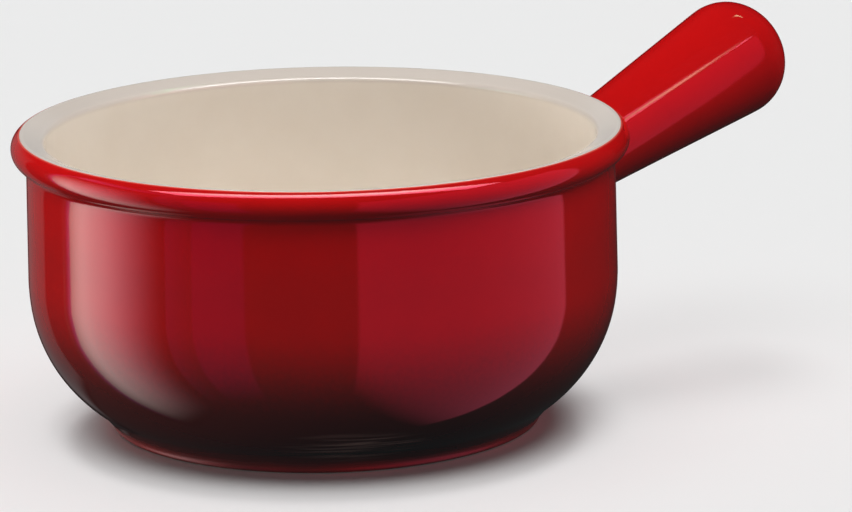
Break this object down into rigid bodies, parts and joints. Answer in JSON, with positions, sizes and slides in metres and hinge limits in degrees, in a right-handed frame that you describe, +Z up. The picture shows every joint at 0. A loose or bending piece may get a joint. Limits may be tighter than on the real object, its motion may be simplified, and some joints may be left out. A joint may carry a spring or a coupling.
{
  "type": "french onion soup crock",
  "caption": "Round stoneware soup crock with a rolled rim, a foot ring and one hollow, flared side handle, glazed red outside and cream inside.",
  "frame": {"origin": "centre of the foot ring's flat contact face, on the surface that the crock stands on", "axes": "+Z up along the axis of the bowl, +X level along the handle, away from the bowl, +Y to complete a right-handed frame"},
  "size_m": [0.2086, 0.133, 0.0731],
  "materials": {
    "stoneware_clay": "matte, bare fired clay",
    "fired_slip": "matte, bare fired clay",
    "cream_glaze": "gloss",
    "red_glaze": "gloss",
    "dark_glaze": "gloss"
  },
  "bodies": {
    "root": {"bowl_body": "stoneware_clay", "handle_body": "stoneware_clay", "handle_slip": "fired_slip", "liner_glaze": "cream_glaze", "bowl_glaze": "red_glaze", "base_glaze": "dark_glaze", "handle_glaze": "red_glaze", "underside_glaze": "red_glaze"}
  },
  "joints": []
}
